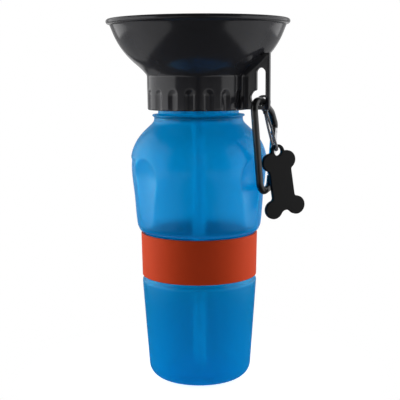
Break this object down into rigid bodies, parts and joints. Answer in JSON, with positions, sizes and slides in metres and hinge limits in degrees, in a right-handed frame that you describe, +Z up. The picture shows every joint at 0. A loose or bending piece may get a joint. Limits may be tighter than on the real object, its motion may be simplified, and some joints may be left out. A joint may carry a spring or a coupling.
{
  "type": "dog travel water bottle",
  "caption": "Squeeze water bottle for dogs whose screw cap flares into a drinking bowl, with a grip band, a carabiner on the cap's tab and a bone-shaped tag.",
  "frame": {"origin": "centre of the ring that the bottle stands on", "axes": "+Z up along the bottle's axis, +X towards the hanging tab of the cap"},
  "size_m": [0.1292, 0.1206, 0.24],
  "materials": {
    "blue_bottle": "translucent blue low-density polyethylene, satin",
    "red_silicone": "matt red silicone",
    "black_moulding": "glossy black polypropylene",
    "seal_rubber": "soft matt silicone",
    "clear_tube": "milky polyethylene",
    "grey_bar": "anodised grey, satin",
    "bright_gate": "polished",
    "steel": "drawn",
    "black_tag": "fine matt grain",
    "grey_cord": "braided polyester"
  },
  "bodies": {
    "bottle": {"bottle_body": "blue_bottle", "grip_band": "red_silicone"},
    "gasket": {"neck_gasket": "seal_rubber"},
    "cap": {"bowl_cap": "black_moulding", "valve_body": "black_moulding", "valve_washer": "seal_rubber", "valve_o_ring": "seal_rubber", "dip_tube": "clear_tube"},
    "spout": {"valve_spout": "black_moulding"},
    "carabiner": {"carabiner_frame": "grey_bar", "gate_hinge_pin": "steel"},
    "gate": {"carabiner_gate": "bright_gate", "gate_latch_pin": "steel", "gate_spring": "steel"},
    "plunger": {"gate_plunger": "steel"},
    "tag": {"tag_cord": "grey_cord", "cord_knot": "grey_cord", "bone_tag": "black_tag"}
  },
  "joints": [
    {"name": "cap_lift", "type": "slide", "parent": "bottle", "child": "gasket", "axis": [0, 0, 1], "range_m": [0, 0.00801]},
    {"name": "cap_turn", "type": "hinge", "parent": "gasket", "child": "cap", "pos_m": [0, 0, 0.2], "axis": [0, 0, 1], "range_deg": [0, 720]},
    {"name": "spout_pull", "type": "slide", "parent": "cap", "child": "spout", "axis": [0, 0, 1], "range_m": [0, 0.0052]},
    {"name": "carabiner_swing", "type": "hinge", "parent": "cap", "child": "carabiner", "pos_m": [0.0464, 0, 0.187], "axis": [0, -1, 0], "range_deg": [0, 60]},
    {"name": "gate_open", "type": "hinge", "parent": "carabiner", "child": "gate", "pos_m": [0.04863, 0.00929, 0.14145], "axis": [0.9988, 0, 0.0489], "range_deg": [0, 17], "stiffness_Nm_per_rad": 0.02, "springref_deg": -5.73},
    {"name": "plunger_slide", "type": "slide", "parent": "gate", "child": "plunger", "axis": [-0.047, 0.2757, 0.9601], "range_m": [0, 0.0006], "deforming": ["gate_spring"]},
    {"name": "tag_swing", "type": "hinge", "parent": "carabiner", "child": "tag", "pos_m": [0.04645, 0.003, 0.1858], "axis": [0, -1, 0], "range_deg": [0, 45]}
  ],
  "couplings": [
    {"joint": "cap_lift", "follows": "cap_turn", "m_per_rad": 0.00063662},
    {"joint": "plunger_slide", "follows": "gate_open", "m_per_rad": 0.0017}
  ]
}
